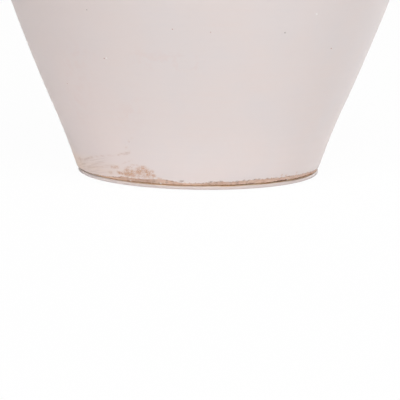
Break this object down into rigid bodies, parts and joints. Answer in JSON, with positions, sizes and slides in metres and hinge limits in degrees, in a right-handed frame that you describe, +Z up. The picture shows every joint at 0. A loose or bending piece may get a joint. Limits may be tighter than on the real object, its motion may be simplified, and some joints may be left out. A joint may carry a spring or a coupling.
{
  "type": "terracotta vase",
  "caption": "Tall ovoid terracotta vase with a pale chalk wash, bare clay along the foot, a short neck with a rolled lip and a thin disc glued under its base.",
  "frame": {"origin": "on the floor, under the middle of the foot disc", "axes": "+Z up along the axis the vase was thrown about; -Y towards the camera of the picture"},
  "size_m": [0.29, 0.29, 0.4307],
  "materials": {
    "disc": "pale translucent plastic, satin",
    "glue": "aged amber adhesive",
    "terracotta": "bare fired clay",
    "wash": "brushed matt chalk wash",
    "glaze": "clear honey glaze over red clay"
  },
  "bodies": {
    "root": {"foot_disc": "disc", "foot_glue": "glue", "lower_body": "terracotta", "shoulder": "terracotta", "neck_and_rim": "terracotta", "chalk_wash": "wash", "inner_glaze": "glaze"}
  },
  "joints": []
}
